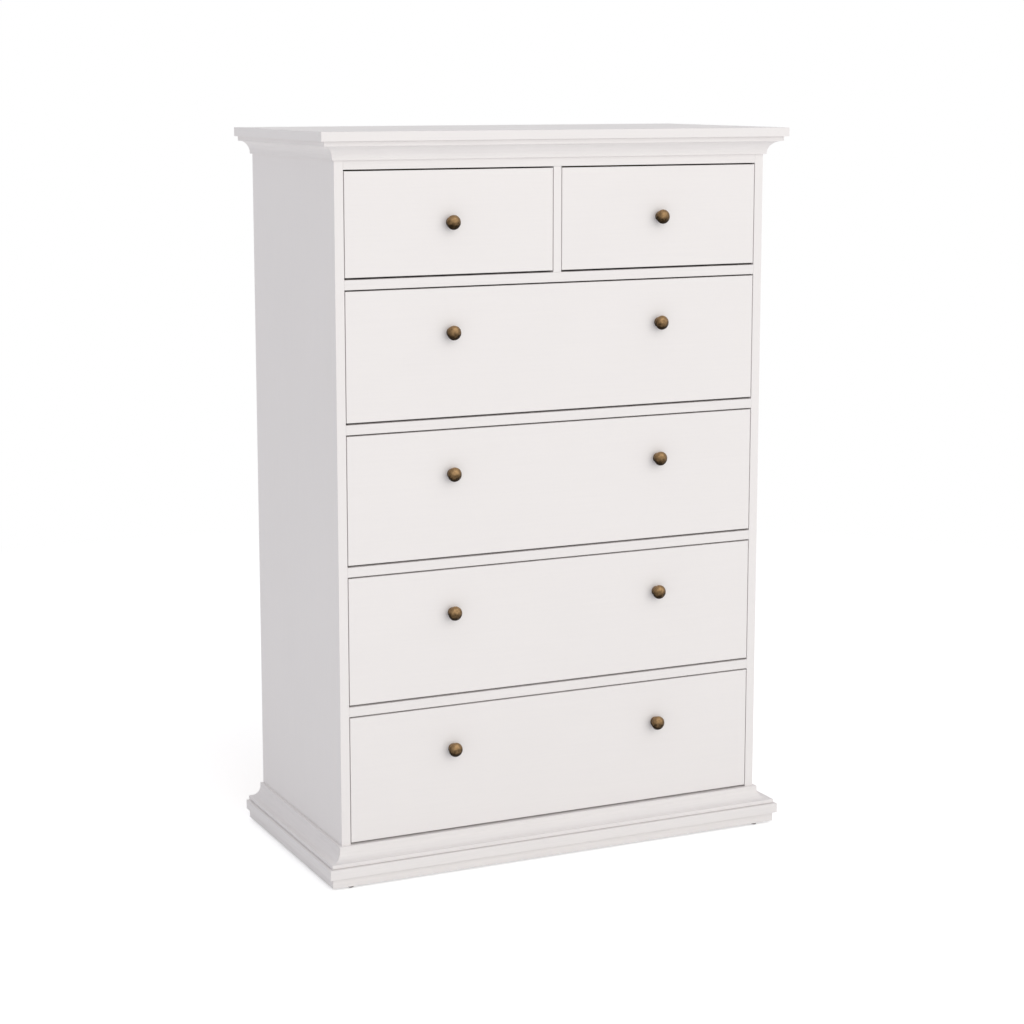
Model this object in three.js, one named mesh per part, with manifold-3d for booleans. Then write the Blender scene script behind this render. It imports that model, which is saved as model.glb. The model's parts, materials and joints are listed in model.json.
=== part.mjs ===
// A tall chest with two short drawers over four long ones, in millimetres.
// X runs to the right, Y to the back and Z up. The origin is under the middle of the chest.

import * as THREE from 'three';
import { mergeVertices } from 'three/addons/utils/BufferGeometryUtils.js';
import Module from 'manifold-3d';

const wasm = await Module();
wasm.setup();

// Case
const CASE_WIDTH = 888;
const CASE_DEPTH = 443.5;
const SIDE_THICKNESS = 17.5;
const BOTTOM_THICKNESS = 16;
const RAIL_HEIGHT = 18;
const RAIL_DEPTH = 60;
const TOP_RAIL_HEIGHT = 50.9;
const TOP_RAIL_THICKNESS = 16;
const PARTITION_THICKNESS = 16;
const BACK_THICKNESS = 3.2;
const REBATE_WIDTH = 8;
const TOP_THICKNESS = 17;
const TOP_OVERHANG = 36.5;

// Cornice moulding, a cove that hangs under the top board
const CORNICE_HEIGHT = 34.2;
const CORNICE_LIP_REACH = 5.2;
const CORNICE_LIP_HEIGHT = 2.1;
const CORNICE_COVE_REACH = 18.4;
const CORNICE_SOFFIT_REACH = 5.4;
const CORNICE_FILLET_HEIGHT = 9;

// Plinth moulding, a slab with a fascia set in below it and a cove above it.
// Its top is level with the bottom board
const PLINTH_HEIGHT = 69.8;
const PLINTH_FASCIA_HEIGHT = 18.4;
const PLINTH_FASCIA_INSET = 6.5;
const PLINTH_SLAB_HEIGHT = 18.9;
const PLINTH_GROOVE_HEIGHT = 1;
const PLINTH_GROOVE_INSET = 8;
const PLINTH_BASE_INSET = 5.5;
const PLINTH_BASE_HEIGHT = 7.1;
const PLINTH_LIP_REACH = 6.5;
const PLINTH_LIP_HEIGHT = 7;
const PLINTH_COVE_REACH = 16.5;

// Glides
const GLIDE_HEIGHT = 4;
const GLIDE_RADIUS = 6;
const GLIDE_BEVEL = 0.8;
const GLIDE_PIN_RADIUS = 1.6;
const GLIDE_PIN_LENGTH = 14;
const FRONT_GLIDE_REACH = 20;
const REAR_GLIDE_SETBACK = 40;

// Drawers
const LONG_DRAWER_COUNT = 4;
const GAP_ABOVE_FRONT = 3;
const GAP_BELOW_FRONT = 4;
const GAP_BESIDE_FRONT = 1.7;
const FRONT_THICKNESS = 16;
const LONG_FRONT_HEIGHT = 238.5;
const SHORT_FRONT_HEIGHT = 190.3;
const BOX_WALL = 12;
const BOX_RAISE = 12;
const BOX_DROP = 26;
const BOX_SIDE_CLEARANCE = 5;
const BOX_REAR_CLEARANCE = 22;
const DRAWER_BOTTOM_THICKNESS = 3;
const DRAWER_BOTTOM_RAISE = 10;
const DRAWER_BOTTOM_INSERT = 4.7;

// Runner strips, which the grooved drawer sides slide on
const RUNNER_HEIGHT = 17;
const RUNNER_REACH = 10;
const RUNNER_CLEARANCE = 0.4;
const RUNNER_FRONT_SETBACK = 3;
const RUNNER_REAR_SETBACK = 12;

// Knobs
const KNOB_HEAD_RADIUS = 13.7;
const KNOB_HEAD_BULGE = 9;
const KNOB_HEAD_REACH = 13.5;
const KNOB_NECK_RADIUS = 7;
const KNOB_COLLAR_RADIUS = 9.8;
const KNOB_COLLAR_THICKNESS = 3.5;
const KNOB_COLLAR_BEVEL = 0.8;
const KNOB_STUD_RADIUS = 2;
const KNOB_STUD_LENGTH = 10;
const LONG_DRAWER_KNOB_DROP = 82;

// Fits: glued boards lie a hairline apart, loose pieces a little more
const GLUE_FIT = 0.2;
const MITRE_FIT = 0.3;
const LOOSE_FIT = 0.3;
const CUT_OVERRUN = 1;

// Roundness of turned pieces and coves
const TURNED_SIDES = 24;
const PIN_SIDES = 12;
const KNOB_HEAD_STEPS = 5;
const COVE_STEPS = 10;

// Places that follow from the sizes above
const depth = CASE_DEPTH + TOP_OVERHANG;
const caseRear = depth / 2;
const caseFront = caseRear - CASE_DEPTH;
const sideOuter = CASE_WIDTH / 2;
const sideInner = sideOuter - SIDE_THICKNESS;
const partitionFace = PARTITION_THICKNESS / 2;
const plinthBottom = GLIDE_HEIGHT;
const bayFloor = plinthBottom + PLINTH_HEIGHT;
const longBayHeight = GAP_BELOW_FRONT + LONG_FRONT_HEIGHT + GAP_ABOVE_FRONT;
const shortBayHeight = GAP_BELOW_FRONT + SHORT_FRONT_HEIGHT + GAP_ABOVE_FRONT;
const bayPitch = longBayHeight + RAIL_HEIGHT;
const shortBayFloor = bayFloor + LONG_DRAWER_COUNT * bayPitch;
const topRailBottom = shortBayFloor + shortBayHeight;
const topBoardBottom = topRailBottom + TOP_RAIL_HEIGHT;
const carcassTop = topBoardBottom - GLUE_FIT;
const rebateFloor = caseRear - BACK_THICKNESS - GLUE_FIT;
const shortBayCentre = (sideInner + partitionFace) / 2;
const boxRear = rebateFloor - BOX_REAR_CLEARANCE - caseFront;
const runnerFront = caseFront + FRONT_THICKNESS + RUNNER_FRONT_SETBACK;
const runnerRear = rebateFloor - RUNNER_REAR_SETBACK;
const glideX = sideOuter - SIDE_THICKNESS / 2;

// Materials
function whiteFoil() {
  return new THREE.MeshStandardMaterial({ color: '#edebe9', roughness: 0.5, metalness: 0 });
}

function boxFoil() {
  return new THREE.MeshStandardMaterial({ color: '#dedad3', roughness: 0.6, metalness: 0 });
}

function rawHardboard() {
  return new THREE.MeshStandardMaterial({ color: '#a98a66', roughness: 0.8, metalness: 0 });
}

function palePlastic() {
  return new THREE.MeshStandardMaterial({ color: '#cfccc6', roughness: 0.45, metalness: 0 });
}

function greyPlastic() {
  return new THREE.MeshStandardMaterial({ color: '#6b6663', roughness: 0.6, metalness: 0 });
}

function agedBrass() {
  return new THREE.MeshStandardMaterial({ color: '#7d6446', roughness: 0.4, metalness: 1 });
}

// Solids and cuts
function toSolid(geometry) {
  const shell = geometry.clone();
  shell.deleteAttribute('normal');
  shell.deleteAttribute('uv');
  const merged = mergeVertices(shell);
  const position = merged.attributes.position;
  return new wasm.Manifold(new wasm.Mesh({
    numProp: position.itemSize,
    vertProperties: position.array,
    triVerts: Uint32Array.from(merged.index.array),
  }));
}

function toGeometry(solid) {
  const { numProp, vertProperties, triVerts } = solid.getMesh();
  const indexed = new THREE.BufferGeometry();
  indexed.setAttribute('position', new THREE.BufferAttribute(vertProperties, numProp));
  indexed.setIndex(new THREE.BufferAttribute(triVerts, 1));
  const faceted = indexed.toNonIndexed();
  faceted.computeVertexNormals();
  return faceted;
}

function cut(geometry, cutters) {
  let solid = toSolid(geometry);
  for (const cutter of cutters) {
    solid = solid.subtract(toSolid(cutter));
  }
  return toGeometry(solid);
}

function join(geometry, addition) {
  return toGeometry(toSolid(geometry).add(toSolid(addition)));
}

// A box from its ends along each axis
function boxBetween([left, right], [front, rear], [bottom, top]) {
  const box = new THREE.BoxGeometry(right - left, rear - front, top - bottom);
  box.translate((left + right) / 2, (front + rear) / 2, (bottom + top) / 2);
  return box;
}

function outline(points) {
  return new THREE.Shape(points.map(([x, y]) => new THREE.Vector2(x, y)));
}

// An upright prism over an outline drawn in X and Y
function prismUp(points, [bottom, top]) {
  const prism = new THREE.ExtrudeGeometry(outline(points), { depth: top - bottom, bevelEnabled: false });
  prism.translate(0, 0, bottom);
  return prism;
}

function pinUp(radius, [bottom, top]) {
  const pin = new THREE.CylinderGeometry(radius, radius, top - bottom, PIN_SIDES);
  pin.rotateX(Math.PI / 2);
  pin.translate(0, 0, (bottom + top) / 2);
  return pin;
}

function named(name, geometry, material) {
  const mesh = new THREE.Mesh(geometry, material);
  mesh.name = name;
  return mesh;
}

function board(name, acrossX, alongY, upZ, material = whiteFoil()) {
  return named(name, boxBetween(acrossX, alongY, upZ), material);
}

// Glides
function glideHole() {
  const hole = pinUp(GLIDE_PIN_RADIUS + LOOSE_FIT, [-CUT_OVERRUN, GLIDE_PIN_LENGTH + LOOSE_FIT]);
  hole.translate(0, 0, plinthBottom);
  return hole;
}

function glide(name, x, y) {
  const pinTop = GLIDE_HEIGHT + GLIDE_PIN_LENGTH;
  const seat = GLIDE_HEIGHT - GLUE_FIT;
  const profile = [
    new THREE.Vector2(0, 0),
    new THREE.Vector2(GLIDE_RADIUS - GLIDE_BEVEL, 0),
    new THREE.Vector2(GLIDE_RADIUS, GLIDE_BEVEL),
    new THREE.Vector2(GLIDE_RADIUS, seat),
    new THREE.Vector2(GLIDE_PIN_RADIUS, seat),
    new THREE.Vector2(GLIDE_PIN_RADIUS, pinTop),
    new THREE.Vector2(0, pinTop),
  ];
  const body = new THREE.LatheGeometry(profile, TURNED_SIDES);
  body.rotateX(Math.PI / 2);
  const mesh = named(name, body, greyPlastic());
  mesh.position.set(x, y, 0);
  return mesh;
}

const frontGlideY = caseFront - FRONT_GLIDE_REACH;
const rearGlideY = caseRear - REAR_GLIDE_SETBACK;

function glides() {
  return [
    glide('glide_front_left', -glideX, frontGlideY),
    glide('glide_front_right', glideX, frontGlideY),
    glide('glide_rear_left', -glideX, rearGlideY),
    glide('glide_rear_right', glideX, rearGlideY),
  ];
}

// Case boards
function sidePanel(name, side) {
  const rebateWall = sideInner + REBATE_WIDTH;
  const plan = [
    [side * sideInner, caseFront],
    [side * sideOuter, caseFront],
    [side * sideOuter, caseRear],
    [side * rebateWall, caseRear],
    [side * rebateWall, rebateFloor],
    [side * sideInner, rebateFloor],
  ];
  const hole = glideHole();
  hole.translate(side * glideX, rearGlideY, 0);
  return named(name, cut(prismUp(plan, [plinthBottom, carcassTop]), [hole]), whiteFoil());
}

function topBoard() {
  const reach = sideOuter + TOP_OVERHANG;
  const height = [topBoardBottom, topBoardBottom + TOP_THICKNESS];
  return board('top_board', [-reach, reach], [-caseRear, caseRear], height);
}

const insideWidth = [GLUE_FIT - sideInner, sideInner - GLUE_FIT];

function bottomBoard() {
  const height = [bayFloor - BOTTOM_THICKNESS, bayFloor];
  return board('bottom_board', insideWidth, [caseFront, rebateFloor], height);
}

function topRail() {
  const thickness = [caseFront, caseFront + TOP_RAIL_THICKNESS];
  return board('top_rail', insideWidth, thickness, [topRailBottom, carcassTop]);
}

function drawerRails() {
  const rails = [];
  for (let row = 1; row <= LONG_DRAWER_COUNT; row += 1) {
    const top = shortBayFloor - (row - 1) * bayPitch;
    const height = [top - RAIL_HEIGHT, top];
    rails.push(board(`drawer_rail_${row}`, insideWidth, [caseFront, caseFront + RAIL_DEPTH], height));
  }
  return rails;
}

function backPanel() {
  const reach = sideInner + REBATE_WIDTH - GLUE_FIT;
  const thickness = [caseRear - BACK_THICKNESS, caseRear];
  const height = [bayFloor - BOTTOM_THICKNESS, carcassTop];
  return board('back_panel', [-reach, reach], thickness, height, rawHardboard());
}

// Heights of the runner strips, half way up the box of the drawer in a bay
function runnerSpan(floor, frontHeight) {
  const middle = floor + GAP_BELOW_FRONT + (BOX_RAISE + frontHeight - BOX_DROP) / 2;
  return [middle - RUNNER_HEIGHT / 2, middle + RUNNER_HEIGHT / 2];
}

function centrePartition() {
  const shoulder = caseFront + TOP_RAIL_THICKNESS + GLUE_FIT;
  const foot = shortBayFloor + GLUE_FIT;
  const plate = boxBetween([-partitionFace, partitionFace], [caseFront, rebateFloor], [foot, carcassTop]);
  const notch = boxBetween(
    [-partitionFace - CUT_OVERRUN, partitionFace + CUT_OVERRUN],
    [caseFront - CUT_OVERRUN, shoulder],
    [topRailBottom - GLUE_FIT, carcassTop + CUT_OVERRUN],
  );
  const runnerFace = partitionFace + RUNNER_REACH;
  const span = runnerSpan(shortBayFloor, SHORT_FRONT_HEIGHT);
  const runners = boxBetween([-runnerFace, runnerFace], [runnerFront, runnerRear], span);
  return named('centre_partition', join(cut(plate, [notch]), runners), whiteFoil());
}

// Runner strips on the side panels
function runner(name, side, floor, frontHeight) {
  const inner = sideInner - RUNNER_REACH;
  const outer = sideInner - GLUE_FIT;
  const across = side < 0 ? [-outer, -inner] : [inner, outer];
  return board(name, across, [runnerFront, runnerRear], runnerSpan(floor, frontHeight), palePlastic());
}

function runners() {
  const strips = [
    runner('short_runner_left', -1, shortBayFloor, SHORT_FRONT_HEIGHT),
    runner('short_runner_right', 1, shortBayFloor, SHORT_FRONT_HEIGHT),
  ];
  for (let row = 1; row <= LONG_DRAWER_COUNT; row += 1) {
    const floor = shortBayFloor - row * bayPitch;
    strips.push(runner(`long_runner_${row}_left`, -1, floor, LONG_FRONT_HEIGHT));
    strips.push(runner(`long_runner_${row}_right`, 1, floor, LONG_FRONT_HEIGHT));
  }
  return strips;
}

// Mouldings: outlines drawn outwards from the case in X and upwards in Y.
// The radius of a cove that leaves its lip upright and ends further out, at a given rise
function coveRadius(reach, rise) {
  return (reach * reach + rise * rise) / (2 * reach);
}

function corniceOutline() {
  const lipTop = CORNICE_LIP_HEIGHT;
  const soffit = CORNICE_HEIGHT - CORNICE_FILLET_HEIGHT;
  const radius = coveRadius(CORNICE_COVE_REACH, soffit - lipTop);
  const centre = CORNICE_LIP_REACH + radius;
  const coveEnd = Math.acos((CORNICE_COVE_REACH - radius) / radius);
  const filletReach = CORNICE_LIP_REACH + CORNICE_COVE_REACH + CORNICE_SOFFIT_REACH;
  const shape = new THREE.Shape();
  shape.moveTo(GLUE_FIT, 0);
  shape.lineTo(CORNICE_LIP_REACH, 0);
  shape.absarc(centre, lipTop, radius, Math.PI, coveEnd, true);
  shape.lineTo(filletReach, soffit);
  shape.lineTo(filletReach, CORNICE_HEIGHT - GLUE_FIT);
  shape.lineTo(GLUE_FIT, CORNICE_HEIGHT - GLUE_FIT);
  return shape;
}

function plinthOutline() {
  const slabTop = PLINTH_FASCIA_HEIGHT + PLINTH_SLAB_HEIGHT;
  const baseBottom = slabTop + PLINTH_GROOVE_HEIGHT;
  const baseTop = baseBottom + PLINTH_BASE_HEIGHT;
  const lipBottom = PLINTH_HEIGHT - PLINTH_LIP_HEIGHT;
  const radius = coveRadius(PLINTH_COVE_REACH, lipBottom - baseTop);
  const centre = PLINTH_LIP_REACH + radius;
  const coveStart = Math.acos((PLINTH_COVE_REACH - radius) / radius);
  const fascia = TOP_OVERHANG - PLINTH_FASCIA_INSET;
  const groove = TOP_OVERHANG - PLINTH_GROOVE_INSET;
  const base = TOP_OVERHANG - PLINTH_BASE_INSET;
  const shape = new THREE.Shape();
  shape.moveTo(GLUE_FIT, 0);
  shape.lineTo(fascia, 0);
  shape.lineTo(fascia, PLINTH_FASCIA_HEIGHT);
  shape.lineTo(TOP_OVERHANG, PLINTH_FASCIA_HEIGHT);
  shape.lineTo(TOP_OVERHANG, slabTop);
  shape.lineTo(groove, slabTop);
  shape.lineTo(groove, baseBottom);
  shape.lineTo(base, baseBottom);
  shape.lineTo(base, baseTop);
  shape.absarc(centre, lipBottom, radius, -coveStart, -Math.PI, true);
  shape.lineTo(PLINTH_LIP_REACH, PLINTH_HEIGHT);
  shape.lineTo(GLUE_FIT, PLINTH_HEIGHT);
  return shape;
}

// A strip of moulding whose mitred ends grow longer the further they stand out
function mouldingStrip(shape, length, mitreAtStart, mitreAtEnd) {
  const strip = new THREE.ExtrudeGeometry(shape, {
    depth: length,
    bevelEnabled: false,
    curveSegments: COVE_STEPS,
  });
  const position = strip.attributes.position;
  for (let i = 0; i < position.count; i += 1) {
    const atEnd = position.getZ(i) > length / 2;
    const growth = position.getX(i) - MITRE_FIT / 2;
    if (atEnd && mitreAtEnd) {
      position.setZ(i, length + growth);
    }
    if (!atEnd && mitreAtStart) {
      position.setZ(i, -growth);
    }
  }
  strip.computeVertexNormals();
  return strip;
}

function turned(geometry, outwards, along) {
  const up = new THREE.Vector3(0, 0, 1);
  geometry.applyMatrix4(new THREE.Matrix4().makeBasis(outwards, up, along));
  return geometry;
}

function frontStrip(shape) {
  const strip = mouldingStrip(shape, CASE_WIDTH, true, true);
  const geometry = turned(strip, new THREE.Vector3(0, -1, 0), new THREE.Vector3(-1, 0, 0));
  geometry.translate(sideOuter, caseFront, 0);
  return geometry;
}

function leftStrip(shape) {
  const strip = mouldingStrip(shape, CASE_DEPTH, true, false);
  const geometry = turned(strip, new THREE.Vector3(-1, 0, 0), new THREE.Vector3(0, 1, 0));
  geometry.translate(-sideOuter, caseFront, 0);
  return geometry;
}

function rightStrip(shape) {
  const strip = mouldingStrip(shape, CASE_DEPTH, false, true);
  const geometry = turned(strip, new THREE.Vector3(1, 0, 0), new THREE.Vector3(0, -1, 0));
  geometry.translate(sideOuter, caseRear, 0);
  return geometry;
}

function cornice() {
  const strips = [
    named('cornice_moulding_front', frontStrip(corniceOutline()), whiteFoil()),
    named('cornice_moulding_left', leftStrip(corniceOutline()), whiteFoil()),
    named('cornice_moulding_right', rightStrip(corniceOutline()), whiteFoil()),
  ];
  for (const strip of strips) {
    strip.position.z = topBoardBottom - CORNICE_HEIGHT;
  }
  return strips;
}

function plinth() {
  const front = frontStrip(plinthOutline());
  front.translate(0, 0, plinthBottom);
  const holes = [-glideX, glideX].map((x) => glideHole().translate(x, frontGlideY, 0));
  const left = named('plinth_moulding_left', leftStrip(plinthOutline()), whiteFoil());
  const right = named('plinth_moulding_right', rightStrip(plinthOutline()), whiteFoil());
  left.position.z = plinthBottom;
  right.position.z = plinthBottom;
  return [named('plinth_moulding_front', cut(front, holes), whiteFoil()), left, right];
}

// Knobs, turned about the Y axis with the head towards the front
function knobHeadStart() {
  return -Math.acos(KNOB_NECK_RADIUS / KNOB_HEAD_RADIUS);
}

function knobProfile() {
  const path = new THREE.Path();
  path.moveTo(0, -KNOB_STUD_LENGTH);
  path.lineTo(KNOB_STUD_RADIUS, -KNOB_STUD_LENGTH);
  path.lineTo(KNOB_STUD_RADIUS, GLUE_FIT);
  path.lineTo(KNOB_COLLAR_RADIUS, GLUE_FIT);
  path.lineTo(KNOB_COLLAR_RADIUS, KNOB_COLLAR_THICKNESS - KNOB_COLLAR_BEVEL);
  path.lineTo(KNOB_COLLAR_RADIUS - KNOB_COLLAR_BEVEL, KNOB_COLLAR_THICKNESS);
  path.lineTo(KNOB_NECK_RADIUS, KNOB_COLLAR_THICKNESS);
  const start = knobHeadStart();
  path.absellipse(0, KNOB_HEAD_REACH, KNOB_HEAD_RADIUS, KNOB_HEAD_BULGE, start, Math.PI / 2, false);
  const points = path.getPoints(KNOB_HEAD_STEPS);
  points[points.length - 1].setX(0);
  return points;
}

function knob(name, x, z) {
  const head = new THREE.LatheGeometry(knobProfile(), TURNED_SIDES);
  head.rotateX(Math.PI);
  const mesh = named(name, head, agedBrass());
  mesh.position.set(x, 0, z);
  return mesh;
}

function knobHole(x, z) {
  const hole = pinUp(KNOB_STUD_RADIUS + LOOSE_FIT, [-CUT_OVERRUN, KNOB_STUD_LENGTH + LOOSE_FIT]);
  hole.rotateX(-Math.PI / 2);
  hole.translate(x, 0, z);
  return hole;
}

// Drawers. Each is drawn with its front face at Y zero and the lower edge of its front at Z zero
function drawerSizes(bayWidth, frontHeight, knobHeight, knobXs) {
  const boxOuter = bayWidth / 2 - BOX_SIDE_CLEARANCE;
  return {
    frontReach: bayWidth / 2 - GAP_BESIDE_FRONT,
    frontHeight,
    knobHeight,
    knobXs,
    boxOuter,
    boxInner: boxOuter - BOX_WALL,
    boxBottom: BOX_RAISE,
    boxTop: frontHeight - BOX_DROP,
  };
}

// The drawer bottom, or with a clearance the slot that holds it
function bottomPlate(sizes, clearance) {
  const insert = DRAWER_BOTTOM_INSERT + clearance;
  const reach = sizes.boxInner + insert;
  const low = sizes.boxBottom + DRAWER_BOTTOM_RAISE - clearance;
  const high = sizes.boxBottom + DRAWER_BOTTOM_RAISE + DRAWER_BOTTOM_THICKNESS + clearance;
  return boxBetween([-reach, reach], [FRONT_THICKNESS - insert, boxRear - BOX_WALL + insert], [low, high]);
}

function drawerFront(name, sizes) {
  const width = [-sizes.frontReach, sizes.frontReach];
  const slab = boxBetween(width, [0, FRONT_THICKNESS], [0, sizes.frontHeight]);
  const holes = sizes.knobXs.map((x) => knobHole(x, sizes.knobHeight));
  return named(`${name}_front`, cut(slab, [bottomPlate(sizes, GLUE_FIT), ...holes]), whiteFoil());
}

function runnerGroove(sizes, side) {
  const floor = sizes.boxOuter - (RUNNER_REACH - BOX_SIDE_CLEARANCE + RUNNER_CLEARANCE);
  const mouth = sizes.boxOuter + CUT_OVERRUN;
  const across = side < 0 ? [-mouth, -floor] : [floor, mouth];
  const [runnerBottom, runnerTop] = runnerSpan(-GAP_BELOW_FRONT, sizes.frontHeight);
  const up = [runnerBottom - RUNNER_CLEARANCE, runnerTop + RUNNER_CLEARANCE];
  return boxBetween(across, [FRONT_THICKNESS - CUT_OVERRUN, boxRear + CUT_OVERRUN], up);
}

function drawerBox(name, sizes) {
  const front = FRONT_THICKNESS + GLUE_FIT;
  const rearWall = boxRear - BOX_WALL;
  const plan = [
    [-sizes.boxOuter, front],
    [-sizes.boxInner, front],
    [-sizes.boxInner, rearWall],
    [sizes.boxInner, rearWall],
    [sizes.boxInner, front],
    [sizes.boxOuter, front],
    [sizes.boxOuter, boxRear],
    [-sizes.boxOuter, boxRear],
  ];
  const walls = prismUp(plan, [sizes.boxBottom, sizes.boxTop]);
  const cuts = [bottomPlate(sizes, GLUE_FIT), runnerGroove(sizes, -1), runnerGroove(sizes, 1)];
  return named(`${name}_box`, cut(walls, cuts), boxFoil());
}

function drawer(name, sizes, x, floor, knobNames) {
  const group = new THREE.Group();
  group.position.set(x, caseFront, floor + GAP_BELOW_FRONT);
  group.add(drawerFront(name, sizes));
  group.add(drawerBox(name, sizes));
  group.add(named(`${name}_bottom`, bottomPlate(sizes, 0), boxFoil()));
  sizes.knobXs.forEach((knobX, i) => {
    group.add(knob(`${name}_${knobNames[i]}`, knobX, sizes.knobHeight));
  });
  return group;
}

function shortDrawers() {
  const sizes = drawerSizes(sideInner - partitionFace, SHORT_FRONT_HEIGHT, SHORT_FRONT_HEIGHT / 2, [0]);
  return [
    drawer('short_drawer_left', sizes, -shortBayCentre, shortBayFloor, ['knob']),
    drawer('short_drawer_right', sizes, shortBayCentre, shortBayFloor, ['knob']),
  ];
}

function longDrawers() {
  const knobHeight = LONG_FRONT_HEIGHT - LONG_DRAWER_KNOB_DROP;
  const knobXs = [-shortBayCentre, shortBayCentre];
  const sizes = drawerSizes(2 * sideInner, LONG_FRONT_HEIGHT, knobHeight, knobXs);
  const drawers = [];
  for (let row = 1; row <= LONG_DRAWER_COUNT; row += 1) {
    const floor = shortBayFloor - row * bayPitch;
    drawers.push(drawer(`long_drawer_${row}`, sizes, 0, floor, ['knob_left', 'knob_right']));
  }
  return drawers;
}

const semainier = new THREE.Group();
semainier.name = 'semainier';
semainier.add(
  sidePanel('side_panel_left', -1),
  sidePanel('side_panel_right', 1),
  topBoard(),
  bottomBoard(),
  topRail(),
  ...drawerRails(),
  centrePartition(),
  backPanel(),
  ...cornice(),
  ...plinth(),
  ...glides(),
  ...runners(),
  ...shortDrawers(),
  ...longDrawers(),
);

export default semainier;
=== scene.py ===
"""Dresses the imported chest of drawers: finishes, turned and moulded forms, light and camera.

All places and sizes are in metres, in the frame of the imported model: X to the right, Y to the
back, Z up, with the origin on the floor under the middle of the chest.
"""

import json
import math

import bmesh
import bpy
from mathutils import Matrix, Vector, noise

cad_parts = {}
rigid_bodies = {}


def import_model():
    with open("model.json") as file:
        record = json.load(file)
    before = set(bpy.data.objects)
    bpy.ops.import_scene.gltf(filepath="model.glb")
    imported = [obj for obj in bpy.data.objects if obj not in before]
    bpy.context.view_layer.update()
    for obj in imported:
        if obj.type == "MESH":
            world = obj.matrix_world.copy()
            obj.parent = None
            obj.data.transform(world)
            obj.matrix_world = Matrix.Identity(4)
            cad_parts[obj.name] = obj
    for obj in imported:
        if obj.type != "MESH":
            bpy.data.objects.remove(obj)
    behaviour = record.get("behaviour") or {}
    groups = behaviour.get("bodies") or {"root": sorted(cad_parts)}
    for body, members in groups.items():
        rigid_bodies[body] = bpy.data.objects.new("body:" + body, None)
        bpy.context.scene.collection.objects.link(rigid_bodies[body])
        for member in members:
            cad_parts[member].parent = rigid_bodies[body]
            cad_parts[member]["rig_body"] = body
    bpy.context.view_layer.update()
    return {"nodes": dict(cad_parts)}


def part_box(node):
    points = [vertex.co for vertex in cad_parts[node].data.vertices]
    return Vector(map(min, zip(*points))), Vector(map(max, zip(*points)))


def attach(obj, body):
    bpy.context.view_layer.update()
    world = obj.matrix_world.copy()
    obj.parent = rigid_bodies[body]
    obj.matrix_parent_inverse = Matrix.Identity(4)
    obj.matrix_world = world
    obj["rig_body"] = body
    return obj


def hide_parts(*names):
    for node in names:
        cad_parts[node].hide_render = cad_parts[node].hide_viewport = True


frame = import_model()

MM = 0.001

# Camera: the photograph's viewing angle, with its lens and sensor in millimetres
CAMERA_PLACE = (-1.919, -4.077, 1.479)
CAMERA_YAW = math.radians(25.23)
CAMERA_PITCH = math.radians(9.06)
CAMERA_SENSOR = 36
CAMERA_LENS = 81.2
CAMERA_SHIFT_SHARE = -0.06

# Colours, as they render on the sRGB scale
WHITE_FOIL = "#f0eceb"
BOX_FOIL = "#e3dfd9"
HARDBOARD = "#b5966f"
HARDBOARD_DARK = "#a68863"
PALE_PLASTIC = "#cfccc6"
GREY_PLASTIC = "#6b6663"
BRASS_LIGHT = "#b7946b"
BRASS_DARK = "#271d10"
NAIL_STEEL = "#8f8f90"
STUDIO_WHITE = "#ffffff"
FLOOR_WHITE = "#f6f6f6"
BLACK = "#000000"

# Noise: the range that holds most of its values, and how rough it is unless a material says so
NOISE_RANGE = (0.3, 0.7)
NOISE_ROUGHNESS = 0.55

# Foil: its streaks, pores and soft clouds, how much darker they are and how deep it is pressed
STREAK_LENGTH = 0.16
STREAK_WIDTH = 4 * MM
STREAK_DETAIL = 5
STREAK_RANGE = (0.35, 0.65)
PORE_LENGTH = 0.03
PORE_WIDTH = 0.9 * MM
PORE_DETAIL = 3
PORE_RANGE = (0.3, 0.45)
PANEL_GRAIN_SHARE = 0.008
TRIM_GRAIN_SHARE = 0.03
FOIL_CLOUDS = {"cells": [5] * 3, "detail": 2}
FOIL_CLOUD_SHARE = 0.01
STREAK_HEIGHT_SHARE = 0.6
FOIL_BUMP = 0.02 * MM
FOIL_ROUGHNESS = (0.56, 0.5)
FOIL_GLOSS = 0.25

# Hardboard: its flecks, fibres and soft clouds
FLECKS = {"cells": [420] * 3, "detail": 6, "roughness": 0.7}
FIBRES = {"cells": [70, 70, 45], "detail": 6, "roughness": 0.7}
FIBRE_SHARE = 0.5
BOARD_TONE_RANGE = (0.38, 0.62)
BOARD_CLOUDS = {"cells": [4] * 3, "detail": 3}
BOARD_CLOUD_SHARE = 0.12
FLECK_BUMP = 0.12 * MM
BOARD_ROUGHNESS = (0.85, 0.65)

# Plastic: the fine texture of its mould and a faint change of tone
MOULD_TEXTURE = {"cells": [1800] * 3, "detail": 2}
MOULD_BUMP = 0.02 * MM
PLASTIC_TONES = {"cells": [60] * 3, "detail": 3}
PLASTIC_TONE_SHARE = 0.08
PALE_ROUGHNESS = (0.42, 0.54)
GREY_ROUGHNESS = (0.5, 0.62)

# Brass: patina and specks, which add to or take from each point's stored share of wear and painted
# light
WEAR_AND_PAINTED_LIGHT = "wear_and_painted_light"
PATINA = {"cells": [180] * 3, "detail": 4, "roughness": 0.6}
PATINA_SHARES = (-0.16, 0.16)
PATINA_BUMP = 0.06 * MM
SPECKS = {"cells": [1500] * 3, "detail": 3}
SPECK_SHARES = (-0.05, 0.05)
BRASS_METAL_SHARE = 0.95
BRASS_POLISH_RANGE = (0, 0.6)
BRASS_ROUGHNESS = (0.46, 0.26)

# Steel: its dull spots
SPOTS = {"cells": [900] * 3, "detail": 3}
SPOT_SHARE = 0.25
STEEL_ROUGHNESS = (0.55, 0.4)

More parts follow.
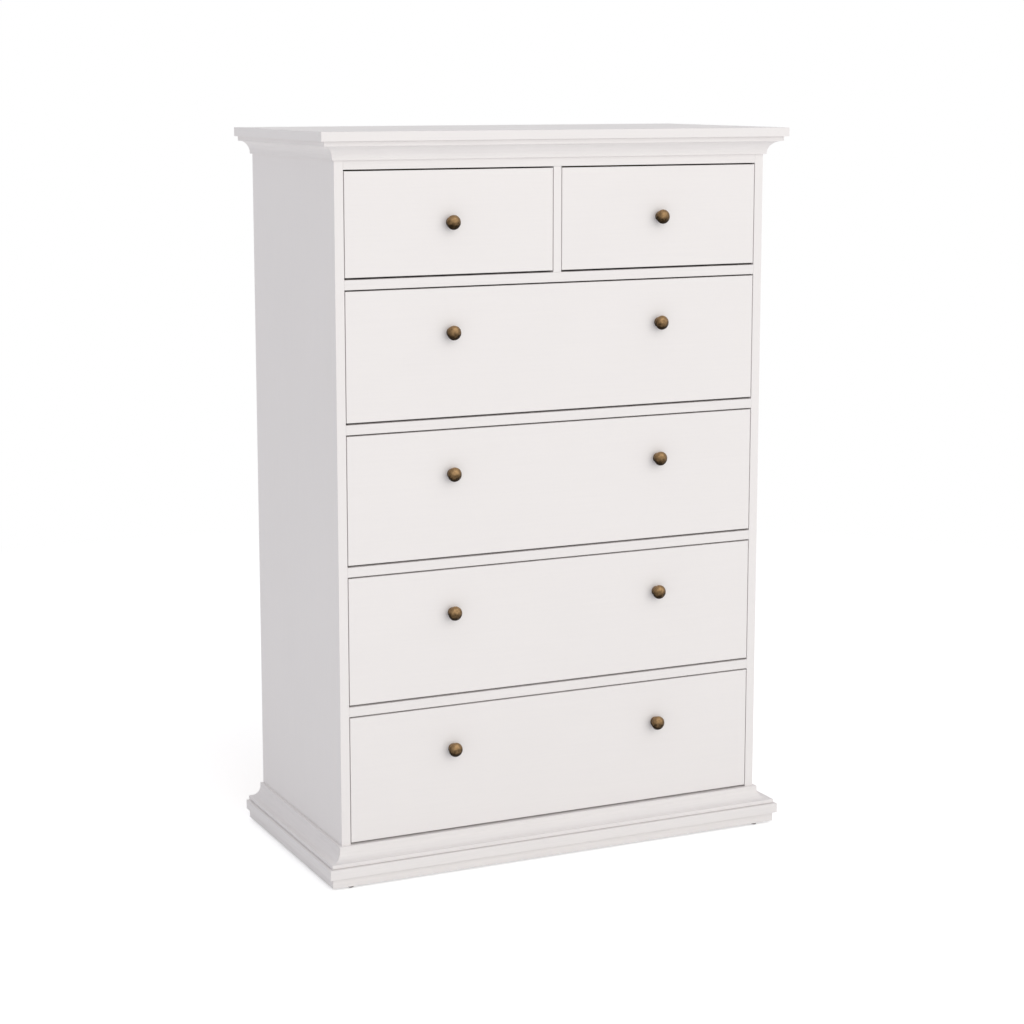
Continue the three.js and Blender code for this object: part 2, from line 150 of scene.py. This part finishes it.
# Rounded edges
WELD_DISTANCE = 0.01 * MM
FLAT_ANGLE = math.radians(1)
CASE_EDGE = 0.2 * MM
FRONT_EDGE = 0.25 * MM
BEVEL_SEGMENTS = 2
MOULDING_EDGE = 0.6 * MM
EDGE_ANGLE = math.radians(40)
EDGE_STEPS = 4

# How far the nail heads stand out of the back panel
NAIL_STAND = 0.12 * MM

# Light: an even sky and one broad lamp, low and a little to the right of the front
WORLD_STRENGTH = 0.626
WORLD_TINT = (0.953, 0.959, 1.0)
KEY_SIDE = math.radians(16)
KEY_HEIGHT = math.radians(16)
KEY_SPREAD = math.radians(80)
KEY_STRENGTH = 1.235
KEY_TINT = (1.0, 0.986, 0.91)

# Floor: a disc that is plain near the chest and fades into the white background
FLOOR_RADIUS = 9.0
FLOOR_SIDES = 96
FLOOR_DROP = 0.1 * MM
FADE_START = 1.1
FADE_END = 3.2
FLOOR_GLOW = 0.47
FLOOR_BOUNCE = 0.17
BOUNCE_START = 0.45
BOUNCE_END = 1.3

# Sockets of the Mix node where it mixes colours
MIX_SHARE_IN = 0
MIX_FIRST_IN = 6
MIX_SECOND_IN = 7
MIX_COLOUR_OUT = 2


# Colours and node trees
def linear(hex_colour):
    """The linear colour of an sRGB hex code, by the standard's own curve, with full alpha."""
    channels = [int(hex_colour[i:i + 2], 16) / 255 for i in (1, 3, 5)]
    levels = [c / 12.92 if c <= 0.04045 else ((c + 0.055) / 1.055) ** 2.4 for c in channels]
    return (*levels, 1.0)


class Nodes:
    """The node tree of a material or a world, with short calls to add and join nodes."""

    def __init__(self, owner, output="ShaderNodeOutputMaterial"):
        owner.use_nodes = True
        self.owner = owner
        self.tree = owner.node_tree
        self.tree.nodes.clear()
        self.output = self.tree.nodes.new(output)

    def add(self, kind, inputs=None, output=0, **settings):
        """Adds a node, joins or sets its inputs and gives back one of its outputs."""
        node = self.tree.nodes.new(kind)
        for key, value in settings.items():
            setattr(node, key, value)
        for key, value in (inputs or {}).items():
            if isinstance(value, bpy.types.NodeSocket):
                self.tree.links.new(value, node.inputs[key])
            else:
                node.inputs[key].default_value = value
        return node.outputs[output]

    def noise(self, cells, detail, roughness=NOISE_ROUGHNESS):
        """Noise in the piece's own space, with so many cells a metre along X, Y and Z."""
        place = self.add("ShaderNodeTexCoord", output="Object")
        point = self.add("ShaderNodeMapping", {"Vector": place, "Scale": cells})
        inputs = {"Vector": point, "Scale": 1, "Detail": detail, "Roughness": roughness}
        return self.add("ShaderNodeTexNoise", inputs, "Fac")

    def span(self, value, source, target):
        """The value carried over from one range to another, and kept inside it."""
        names = ("From Min", "From Max", "To Min", "To Max")
        inputs = dict(zip(names, (*source, *target)), Value=value)
        return self.add("ShaderNodeMapRange", inputs, "Result")

    def maths(self, operation, first, second):
        """The two values multiplied, added and so on."""
        return self.add("ShaderNodeMath", {0: first, 1: second}, operation=operation)

    def weighted(self, first, first_share, second):
        """The first value at its share and the second at the rest, added up."""
        rest = self.maths("MULTIPLY", second, 1 - first_share)
        return self.maths("ADD", self.maths("MULTIPLY", first, first_share), rest)

    def mix(self, share, first, second):
        """The first colour, with a share of the second in it."""
        inputs = {MIX_SHARE_IN: share, MIX_FIRST_IN: first, MIX_SECOND_IN: second}
        return self.add("ShaderNodeMix", inputs, MIX_COLOUR_OUT, data_type="RGBA")

    def shaded(self, colour, shade):
        """The colour, darker where the shade is less than one."""
        return self.mix(shade, linear(BLACK), linear(colour))

    def bump(self, height, distance):
        """The normals of a surface that rises by the distance where the height is one."""
        return self.add("ShaderNodeBump", {"Height": height, "Distance": distance}, "Normal")

    def seen_directly(self):
        """One for rays from the camera, from a reflection or through a clear piece, else zero."""
        path = self.tree.nodes.new("ShaderNodeLightPath").outputs
        seen = self.maths("MAXIMUM", path["Is Camera Ray"], path["Is Glossy Ray"])
        return self.maths("MAXIMUM", seen, path["Is Transmission Ray"])

    def surface(self, shader):
        """Puts the shader on the surface and gives back the material or world."""
        self.tree.links.new(shader, self.output.inputs["Surface"])
        return self.owner

    def principled(self, inputs):
        """Puts a Principled shader with these inputs on the surface, and gives back the material."""
        return self.surface(self.add("ShaderNodeBsdfPrincipled", inputs))


# Materials
def grain_cells(axis, length, width):
    """Cells a metre for noise that is drawn out into streaks along one axis."""
    cells = [1 / width] * 3
    cells["xyz".index(axis)] = 1 / length
    return cells


def foil(name, colour, axis, grain_share):
    """A board wrapped in satin foil with a faint printed and pressed grain along an axis."""
    nodes = Nodes(bpy.data.materials.new(name))
    streaks = nodes.noise(grain_cells(axis, STREAK_LENGTH, STREAK_WIDTH), STREAK_DETAIL)
    pores = nodes.noise(grain_cells(axis, PORE_LENGTH, PORE_WIDTH), PORE_DETAIL)
    clouds = nodes.noise(**FOIL_CLOUDS)
    streak_shade = nodes.span(streaks, STREAK_RANGE, (1 - grain_share, 1))
    pore_shade = nodes.span(pores, PORE_RANGE, (1 - grain_share, 1))
    cloud_shade = nodes.span(clouds, NOISE_RANGE, (1 - FOIL_CLOUD_SHARE, 1))
    shade = nodes.maths("MULTIPLY", nodes.maths("MULTIPLY", streak_shade, pore_shade), cloud_shade)
    height = nodes.weighted(streaks, STREAK_HEIGHT_SHARE, pores)
    return nodes.principled({
        "Base Color": nodes.shaded(colour, shade),
        "Roughness": nodes.span(streaks, NOISE_RANGE, FOIL_ROUGHNESS),
        "Specular IOR Level": FOIL_GLOSS,
        "Normal": nodes.bump(height, FOIL_BUMP),
    })


def raw_hardboard():
    """Brown pressed board with fine flecks, longer fibres and soft darker clouds."""
    nodes = Nodes(bpy.data.materials.new("raw_hardboard"))
    flecks = nodes.noise(**FLECKS)
    fibres = nodes.noise(**FIBRES)
    clouds = nodes.noise(**BOARD_CLOUDS)
    tone = nodes.span(nodes.weighted(fibres, FIBRE_SHARE, flecks), BOARD_TONE_RANGE, (0, 1))
    base = nodes.mix(tone, linear(HARDBOARD_DARK), linear(HARDBOARD))
    cloud_share = nodes.span(clouds, NOISE_RANGE, (BOARD_CLOUD_SHARE, 0))
    return nodes.principled({
        "Base Color": nodes.mix(cloud_share, base, linear(HARDBOARD_DARK)),
        "Roughness": nodes.span(flecks, NOISE_RANGE, BOARD_ROUGHNESS),
        "Normal": nodes.bump(flecks, FLECK_BUMP),
    })


def moulded_plastic(name, colour, roughness):
    """Plastic with the fine even texture of a mould."""
    nodes = Nodes(bpy.data.materials.new(name))
    texture = nodes.noise(**MOULD_TEXTURE)
    shade = nodes.span(nodes.noise(**PLASTIC_TONES), NOISE_RANGE, (1 - PLASTIC_TONE_SHARE, 1))
    return nodes.principled({
        "Base Color": nodes.shaded(colour, shade),
        "Roughness": nodes.span(texture, NOISE_RANGE, roughness),
        "Normal": nodes.bump(texture, MOULD_BUMP),
    })


def aged_brass():
    """Patinated brass: wear and a painted highlight on crown and top, painted shade at rim and
    underside.
    """
    nodes = Nodes(bpy.data.materials.new("aged_brass"))
    # The stored share: crown wear, painted highlight on crown and top, painted shade underneath
    wear_and_painted_light = nodes.add("ShaderNodeAttribute", output="Fac", attribute_name=WEAR_AND_PAINTED_LIGHT)
    patina = nodes.noise(**PATINA)
    specks = nodes.noise(**SPECKS)
    wear_and_light_share = nodes.maths("ADD", wear_and_painted_light, nodes.span(patina, NOISE_RANGE, PATINA_SHARES))
    wear_and_light_share = nodes.maths("ADD", wear_and_light_share, nodes.span(specks, NOISE_RANGE, SPECK_SHARES))
    return nodes.principled({
        "Base Color": nodes.mix(wear_and_light_share, linear(BRASS_DARK), linear(BRASS_LIGHT)),
        "Metallic": BRASS_METAL_SHARE,
        "Roughness": nodes.span(wear_and_light_share, BRASS_POLISH_RANGE, BRASS_ROUGHNESS),
        "Normal": nodes.bump(patina, PATINA_BUMP),
    })


def steel():
    """Dull zinc-coated steel of the small nails."""
    nodes = Nodes(bpy.data.materials.new("nail_steel"))
    spots = nodes.noise(**SPOTS)
    return nodes.principled({
        "Base Color": nodes.shaded(NAIL_STEEL, nodes.span(spots, NOISE_RANGE, (1 - SPOT_SHARE, 1))),
        "Metallic": 1,
        "Roughness": nodes.span(spots, NOISE_RANGE, STEEL_ROUGHNESS),
    })


PANEL_FOILS = {axis: foil(f"panel_foil_{axis}", WHITE_FOIL, axis, PANEL_GRAIN_SHARE) for axis in "xz"}
TRIM_FOILS = {axis: foil(f"trim_foil_{axis}", WHITE_FOIL, axis, TRIM_GRAIN_SHARE) for axis in "xy"}
BOX_WRAP = foil("box_foil", BOX_FOIL, "x", TRIM_GRAIN_SHARE)
RAW_HARDBOARD = raw_hardboard()
PALE = moulded_plastic("pale_plastic", PALE_PLASTIC, PALE_ROUGHNESS)
GREY = moulded_plastic("grey_plastic", GREY_PLASTIC, GREY_ROUGHNESS)
BRASS = aged_brass()
STEEL = steel()


# Packed boards: a better finish and softly rounded edges
def finish_for(node):
    """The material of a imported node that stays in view."""
    if node == "back_panel":
        return RAW_HARDBOARD
    if node.startswith("glide"):
        return GREY
    if "runner" in node:
        return PALE
    if node.endswith("_box") or node.endswith("_bottom"):
        return BOX_WRAP
    if node.startswith("side_panel") or node == "centre_partition":
        return PANEL_FOILS["z"]
    if "rail" in node:
        return TRIM_FOILS["x"]
    return PANEL_FOILS["x"]


def round_edges(piece, width):
    """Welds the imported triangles, drops the lines across flat faces and rounds the edges."""
    weld = piece.modifiers.new("weld", "WELD")
    weld.merge_threshold = WELD_DISTANCE
    flatten = piece.modifiers.new("flatten", "DECIMATE")
    flatten.decimate_type = "DISSOLVE"
    flatten.angle_limit = FLAT_ANGLE
    bevel = piece.modifiers.new("bevel", "BEVEL")
    bevel.width = width
    bevel.segments = BEVEL_SEGMENTS
    bevel.limit_method = "ANGLE"
    bevel.angle_limit = EDGE_ANGLE


def draw_in(piece, depth):
    """Draws a board's faces in by about the depth, so that the nail heads in its plane stand out.

    Its corners move along slanting normals, and so have a longer way than the faces.
    """
    shrink = piece.modifiers.new("draw_in", "DISPLACE")
    shrink.strength = -depth * math.sqrt(3)
    shrink.mid_level = 0


def dress_boards():
    """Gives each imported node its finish, but for the mouldings and knobs, which are replaced."""
    for name, piece in frame["nodes"].items():
        if name.startswith(("cornice", "plinth")) or "_knob" in name:
            continue
        piece.data.materials.clear()
        piece.data.materials.append(finish_for(name))
        in_view = name == "top_board" or name.endswith("_front")
        round_edges(piece, FRONT_EDGE if in_view else CASE_EDGE)
        if name == "back_panel":
            draw_in(piece, NAIL_STAND)


# New pieces
def add_object(name, data):
    """A new object in the scene, with a mesh, a lamp or a camera as its data."""
    item = bpy.data.objects.new(name, data)
    bpy.context.scene.collection.objects.link(item)
    return item


def add_piece(name, mesh, material, body):
    """A new piece of the chest, which moves with a body and has a material slot."""
    piece = add_object(name, mesh)
    mesh.materials.append(material)
    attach(piece, body)
    return piece


def finished_mesh(name, shape):
    """The mesh of a shape that is built."""
    mesh = bpy.data.meshes.new(name)
    shape.to_mesh(mesh)
    shape.free()
    return mesh


def smooth_mesh(name, shape, sharp_angle):
    """The mesh of a shape that is built, smooth but for its edges above the sharp angle."""
    bmesh.ops.recalc_face_normals(shape, faces=shape.faces)
    mesh = finished_mesh(name, shape)
    for face in mesh.polygons:
        face.use_smooth = True
    mesh.set_sharp_from_angle(angle=sharp_angle)
    return mesh


def arc_points(centre, radius, start, end, steps):
    """Points on an arc from one angle to another, both ends included."""
    turns = (start + (end - start) * i / steps for i in range(steps + 1))
    return [(centre[0] + radius * math.cos(t), centre[1] + radius * math.sin(t)) for t in turns]


# Mouldings, drawn outwards from the case and upwards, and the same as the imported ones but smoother
COVE_STEPS = 28
STRIP_SHARP_ANGLE = math.radians(25)
GLUE_FIT = 0.2 * MM
MITRE_FIT = 0.3 * MM

CORNICE_LIP_REACH = 5.2 * MM
CORNICE_LIP_HEIGHT = 2.1 * MM
CORNICE_COVE_REACH = 18.4 * MM
CORNICE_FILLET_HEIGHT = 9 * MM

PLINTH_FASCIA_HEIGHT = 18.4 * MM
PLINTH_FASCIA_INSET = 6.5 * MM
PLINTH_SLAB_HEIGHT = 18.9 * MM
PLINTH_GROOVE_HEIGHT = 1 * MM
PLINTH_GROOVE_INSET = 8 * MM
PLINTH_BASE_INSET = 5.5 * MM
PLINTH_BASE_HEIGHT = 7.1 * MM
PLINTH_LIP_REACH = 6.5 * MM
PLINTH_LIP_HEIGHT = 7 * MM
PLINTH_COVE_REACH = 16.5 * MM


def cove_radius(reach, rise):
    """The radius of a cove that leaves its lip upright and ends further out, at a given rise."""
    return (reach * reach + rise * rise) / (2 * reach)


def cornice_outline(reach, height):
    """From below: a lip, a cove that runs outwards and a fillet under the top board."""
    soffit = height + GLUE_FIT - CORNICE_FILLET_HEIGHT
    radius = cove_radius(CORNICE_COVE_REACH, soffit - CORNICE_LIP_HEIGHT)
    centre = (CORNICE_LIP_REACH + radius, CORNICE_LIP_HEIGHT)
    end = math.acos((CORNICE_COVE_REACH - radius) / radius)
    points = [(GLUE_FIT, 0), (CORNICE_LIP_REACH, 0)]
    points += arc_points(centre, radius, math.pi, end, COVE_STEPS)
    points += [(reach, soffit), (reach, height), (GLUE_FIT, height)]
    return points


def plinth_outline(reach, height):
    """From below: a fascia, a slab, a groove, a base and a cove that runs inwards to a lip."""
    slab_top = PLINTH_FASCIA_HEIGHT + PLINTH_SLAB_HEIGHT
    base_bottom = slab_top + PLINTH_GROOVE_HEIGHT
    base_top = base_bottom + PLINTH_BASE_HEIGHT
    lip_bottom = height - PLINTH_LIP_HEIGHT
    radius = cove_radius(PLINTH_COVE_REACH, lip_bottom - base_top)
    centre = (PLINTH_LIP_REACH + radius, lip_bottom)
    start = math.acos((PLINTH_COVE_REACH - radius) / radius)
    fascia = reach - PLINTH_FASCIA_INSET
    groove = reach - PLINTH_GROOVE_INSET
    base = reach - PLINTH_BASE_INSET
    points = [(GLUE_FIT, 0), (fascia, 0), (fascia, PLINTH_FASCIA_HEIGHT)]
    points += [(reach, PLINTH_FASCIA_HEIGHT), (reach, slab_top)]
    points += [(groove, slab_top), (groove, base_bottom), (base, base_bottom), (base, base_top)]
    points += arc_points(centre, radius, -start, -math.pi, COVE_STEPS)
    points += [(PLINTH_LIP_REACH, height), (GLUE_FIT, height)]
    return points


def rounded(outline, radius):
    """The outline with its sharp corners rounded, except those against the case."""
    corners = [Vector(point) for point in outline]
    points = []
    for i, corner in enumerate(corners):
        before = corners[i - 1] - corner
        after = corners[(i + 1) % len(corners)] - corner
        if corner.x <= GLUE_FIT or math.pi - before.angle(after) < EDGE_ANGLE:
            points.append(corner)
            continue
        reach = min(radius, before.length / 2, after.length / 2)
        start = corner + before.normalized() * reach
        end = corner + after.normalized() * reach
        for step in range(EDGE_STEPS + 1):
            t = step / EDGE_STEPS
            points.append(start * (1 - t) ** 2 + corner * (2 * t * (1 - t)) + end * t ** 2)
    return points


def strip_mesh(name, outline, start, end, outwards, mitres):
    """A strip from start to end, the corners of the case's face, with mitres where asked."""
    along = (end - start).normalized()
    shape = bmesh.new()
    rings = []
    for corner, mitred, away in ((start, mitres[0], -along), (end, mitres[1], along)):
        ring = []
        for reach, rise in outline:
            growth = reach - MITRE_FIT / 2 if mitred else 0
            place = corner + outwards * reach + Vector((0, 0, rise)) + away * growth
            ring.append(shape.verts.new(place))
        rings.append(ring)
    first, last = rings
    for i in range(len(outline)):
        j = (i + 1) % len(outline)
        shape.faces.new((first[i], first[j], last[j], last[i]))
    shape.faces.new(first)
    shape.faces.new(last)
    return smooth_mesh(name, shape, STRIP_SHARP_ANGLE)


def weigh_normals(piece):
    """Keeps flat faces flat next to their rounded edges."""
    weighted = piece.modifiers.new("weighted_normals", "WEIGHTED_NORMAL")
    weighted.keep_sharp = True


def moulding_set(kind, outline_for):
    """The front, left and right strip of a moulding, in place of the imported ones."""
    case_low, case_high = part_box("side_panel_left")[0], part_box("side_panel_right")[1]
    low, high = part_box(f"{kind}_moulding_front")
    reach = case_low[1] - low[1]
    outline = rounded(outline_for(reach, high[2] - low[2]), MOULDING_EDGE)
    front_left = Vector((case_low[0], case_low[1], low[2]))
    front_right = Vector((case_high[0], case_low[1], low[2]))
    back_left = Vector((case_low[0], case_high[1], low[2]))
    back_right = Vector((case_high[0], case_high[1], low[2]))
    strips = {
        "front": (front_left, front_right, Vector((0, -1, 0)), (True, True), "x"),
        "left": (front_left, back_left, Vector((-1, 0, 0)), (True, False), "y"),
        "right": (front_right, back_right, Vector((1, 0, 0)), (True, False), "y"),
    }
    for side, (start, end, outwards, mitres, axis) in strips.items():
        name = f"{kind}_strip_{side}"
        mesh = strip_mesh(name, outline, start, end, outwards, mitres)
        piece = add_piece(name, mesh, TRIM_FOILS[axis], "case")
        weigh_normals(piece)
        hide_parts(f"{kind}_moulding_{side}")


# Knobs
KNOB_SIDES = 72
KNOB_SHARP_ANGLE = math.radians(35)
KNOB_COLLAR_RADIUS = 9.8 * MM
KNOB_COLLAR_THICKNESS = 3.5 * MM
KNOB_COLLAR_ROUND = 1.1 * MM
KNOB_COLLAR_STEPS = 5
KNOB_NECK_RADIUS = 7 * MM
KNOB_NECK_ROUND = 1.2 * MM
KNOB_NECK_STEPS = 4
KNOB_HEAD_REACH = 13.5 * MM
KNOB_HEAD_STEPS = 22
KNOB_STUD_RADIUS = 2 * MM
KNOB_DENT = 0.16 * MM
KNOB_DENT_SIZE = 5.5 * MM
KNOB_DENT_MEAN_SHARE = 0.5
# Shares of the light brass colour: crown wear, painted highlight on crown and top, painted shade
# underneath
WEAR_AND_LIGHT_BASE_SHARE = 0.1
CROWN_WEAR_AND_HIGHLIGHT_SHARE = 0.2
PAINTED_TOP_LIGHT_SHARE = 0.55


def knob_profile(head_radius, total_reach, stud_length):
    """Radius and reach from the drawer's face, from the stud's end to the top of the head."""
    bulge = total_reach - KNOB_HEAD_REACH
    head_start = -math.acos(KNOB_NECK_RADIUS / head_radius)
    points = [(0, -stud_length), (KNOB_STUD_RADIUS, -stud_length)]
    points += [(KNOB_STUD_RADIUS, GLUE_FIT), (KNOB_COLLAR_RADIUS, GLUE_FIT)]
    collar_round = (KNOB_COLLAR_RADIUS - KNOB_COLLAR_ROUND, KNOB_COLLAR_THICKNESS - KNOB_COLLAR_ROUND)
    points += arc_points(collar_round, KNOB_COLLAR_ROUND, 0, math.pi / 2, KNOB_COLLAR_STEPS)
    neck_round = (KNOB_NECK_RADIUS + KNOB_NECK_ROUND, KNOB_COLLAR_THICKNESS + KNOB_NECK_ROUND)
    points += arc_points(neck_round, KNOB_NECK_ROUND, -math.pi / 2, -math.pi, KNOB_NECK_STEPS)
    for i in range(KNOB_HEAD_STEPS + 1):
        turn = head_start + (math.pi / 2 - head_start) * i / KNOB_HEAD_STEPS
        points.append((head_radius * math.cos(turn), KNOB_HEAD_REACH + bulge * math.sin(turn)))
    points[-1] = (0, total_reach)
    return points


def hammered(point):
    """How far a hammered surface lies under its smooth form."""
    return KNOB_DENT * (KNOB_DENT_MEAN_SHARE + noise.noise(point / KNOB_DENT_SIZE))


def mark_wear_and_painted_light(mesh):
    """Stores a share per point: crown wear, painted highlight on crown and top, painted shade
    underneath.
    """
    attribute = mesh.attributes.new(WEAR_AND_PAINTED_LIGHT, "FLOAT", "POINT")
    for vertex, wear_and_painted_light in zip(mesh.vertices, attribute.data):
        crown_wear_and_highlight = CROWN_WEAR_AND_HIGHLIGHT_SHARE * max(0, -vertex.normal.y) ** 2
        wear_and_painted_light.value = WEAR_AND_LIGHT_BASE_SHARE + crown_wear_and_highlight + PAINTED_TOP_LIGHT_SHARE * vertex.normal.z


def knob_mesh(name, axis_x, face_y, axis_z, profile):
    """The profile turned about an axis through the drawer's face, with a softly hammered head."""
    head_start = KNOB_COLLAR_THICKNESS + KNOB_NECK_ROUND
    head_middle = Vector((axis_x, face_y - KNOB_HEAD_REACH, axis_z))
    shape = bmesh.new()
    rings = []
    for radius, reach in profile:
        if radius == 0:
            rings.append([shape.verts.new((axis_x, face_y - reach, axis_z))])
            continue
        ring = []
        for i in range(KNOB_SIDES):
            turn = 2 * math.pi * i / KNOB_SIDES
            x, z = axis_x + radius * math.cos(turn), axis_z + radius * math.sin(turn)
            place = Vector((x, face_y - reach, z))
            if reach > head_start:
                place += (head_middle - place).normalized() * hammered(place)
            ring.append(shape.verts.new(place))
        rings.append(ring)
    for lower, upper in zip(rings, rings[1:]):
        for i in range(KNOB_SIDES):
            around = ((lower, i), (lower, i + 1), (upper, i + 1), (upper, i))
            corners = [ring[place % len(ring)] for ring, place in around]
            shape.faces.new(list(dict.fromkeys(corners)))
    mesh = smooth_mesh(name, shape, KNOB_SHARP_ANGLE)
    mark_wear_and_painted_light(mesh)
    return mesh


def turned_knobs():
    """A turned knob in place of each packed one."""
    for node, packed in frame["nodes"].items():
        if "_knob" not in node:
            continue
        body = packed["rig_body"]
        low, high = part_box(node)
        face_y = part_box(f"{body}_front")[0][1]
        axis_x, axis_z = (low[0] + high[0]) / 2, (low[2] + high[2]) / 2
        profile = knob_profile((high[2] - low[2]) / 2, face_y - low[1], high[1] - face_y)
        name = node.replace("_knob", "_turned_knob")
        mesh = knob_mesh(name, axis_x, face_y, axis_z, profile)
        piece = add_piece(name, mesh, BRASS, body)
        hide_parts(node)


# Nails round the back panel
NAIL_RADIUS = 2.2 * MM
NAIL_SIDES = 16
NAIL_DEPTH = 0.5 * MM
NAIL_INSET = 5 * MM
NAIL_SPACING = 0.13


def spread(low, high, spacing):
    """Places from low to high, evenly spread and no further apart than the spacing."""
    count = math.ceil((high - low) / spacing)
    return [low + (high - low) * i / count for i in range(count + 1)]


def nail_places():
    """Places of the nails along the panel's four edges, as X and Z."""
    low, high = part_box("back_panel")
    left, right = low[0] + NAIL_INSET, high[0] - NAIL_INSET
    bottom, top = low[2] + NAIL_INSET, high[2] - NAIL_INSET
    upright = [(x, z) for x in (left, right) for z in spread(bottom, top, NAIL_SPACING)]
    level = [(x, z) for z in (bottom, top) for x in spread(left, right, NAIL_SPACING)[1:-1]]
    return upright + level


def back_panel_nails():
    """Flat nail heads let into the back panel, with their tops in its packed face."""
    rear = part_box("back_panel")[1][1]
    shape = bmesh.new()
    for x, z in nail_places():
        turn = Matrix.Translation((x, rear - NAIL_DEPTH / 2, z)) @ Matrix.Rotation(math.pi / 2, 4, "X")
        bmesh.ops.create_cone(
            shape, cap_ends=True, segments=NAIL_SIDES, radius1=NAIL_RADIUS, radius2=NAIL_RADIUS,
            depth=NAIL_DEPTH, matrix=turn,
        )
    mesh = finished_mesh("back_panel_nails", shape)
    add_piece("back_panel_nails", mesh, STEEL, "case")


# Stage
def studio_world():
    """Even soft light, seen as plain white."""
    nodes = Nodes(bpy.data.worlds.new("studio"), "ShaderNodeOutputWorld")
    light = nodes.add("ShaderNodeBackground", {"Color": (*WORLD_TINT, 1), "Strength": WORLD_STRENGTH})
    white = nodes.add("ShaderNodeBackground", {"Color": linear(STUDIO_WHITE), "Strength": 1})
    seen = nodes.seen_directly()
    mixed = nodes.add("ShaderNodeMixShader", {"Fac": seen, 1: light, 2: white})
    bpy.context.scene.world = nodes.surface(mixed)


def floor_material():
    """Pale matt floor that keeps shadows, fades into the white background and is clear from below.

    It glows where it is seen directly, and so looks nearly white. Away from the chest it sends
    some light up as well, as the wide bright floor of a studio does.
    """
    nodes = Nodes(bpy.data.materials.new("studio_floor"))
    place = nodes.add("ShaderNodeNewGeometry", output="Position")
    distance = nodes.add("ShaderNodeVectorMath", {0: place}, "Value", operation="LENGTH")
    seen = nodes.seen_directly()
    matt = nodes.add("ShaderNodeBsdfDiffuse", {"Color": linear(FLOOR_WHITE)})
    bounce = nodes.span(distance, (BOUNCE_START, BOUNCE_END), (0, FLOOR_BOUNCE))
    strength = nodes.maths("MAXIMUM", nodes.maths("MULTIPLY", seen, FLOOR_GLOW), bounce)
    glow = nodes.add("ShaderNodeEmission", {"Strength": strength})
    near = nodes.add("ShaderNodeAddShader", {0: matt, 1: glow})
    white = nodes.add("ShaderNodeEmission", {"Color": linear(STUDIO_WHITE), "Strength": 1})
    fade = nodes.maths("MULTIPLY", nodes.span(distance, (FADE_START, FADE_END), (0, 1)), seen)
    top = nodes.add("ShaderNodeMixShader", {"Fac": fade, 1: near, 2: white})
    below = nodes.add("ShaderNodeNewGeometry", output="Backfacing")
    clear = nodes.add("ShaderNodeBsdfTransparent")
    return nodes.surface(nodes.add("ShaderNodeMixShader", {"Fac": below, 1: top, 2: clear}))


def studio_floor():
    """A wide disc just under the chest."""
    shape = bmesh.new()
    bmesh.ops.create_circle(shape, cap_ends=True, segments=FLOOR_SIDES, radius=FLOOR_RADIUS)
    floor = add_object("studio_floor", finished_mesh("studio_floor", shape))
    floor.location.z = -FLOOR_DROP
    floor.data.materials.append(floor_material())


def key_light():
    """A broad far lamp in front and a little to the right, which lights the whole front evenly."""
    light = bpy.data.lights.new("key_light", "SUN")
    light.energy = KEY_STRENGTH
    light.angle = KEY_SPREAD
    light.color = KEY_TINT
    lamp = add_object("key_light", light)
    level = math.cos(KEY_HEIGHT)
    side = Vector((math.sin(KEY_SIDE) * level, -math.cos(KEY_SIDE) * level, math.sin(KEY_HEIGHT)))
    lamp.rotation_mode = "QUATERNION"
    lamp.rotation_quaternion = (-side).to_track_quat("-Z", "Y")


def photo_camera():
    """The camera at the photograph's viewing angle."""
    data = bpy.data.cameras.new("photo_camera")
    data.sensor_width = CAMERA_SENSOR
    data.lens = CAMERA_LENS
    data.shift_y = CAMERA_SHIFT_SHARE
    camera = add_object("photo_camera", data)
    camera.location = CAMERA_PLACE
    camera.rotation_euler = (math.pi / 2 - CAMERA_PITCH, 0, -CAMERA_YAW)
    bpy.context.scene.camera = camera


photo_camera()
dress_boards()
moulding_set("cornice", cornice_outline)
moulding_set("plinth", plinth_outline)
turned_knobs()
back_panel_nails()
studio_world()
studio_floor()
key_light()
bpy.context.scene.view_settings.view_transform = "Standard"
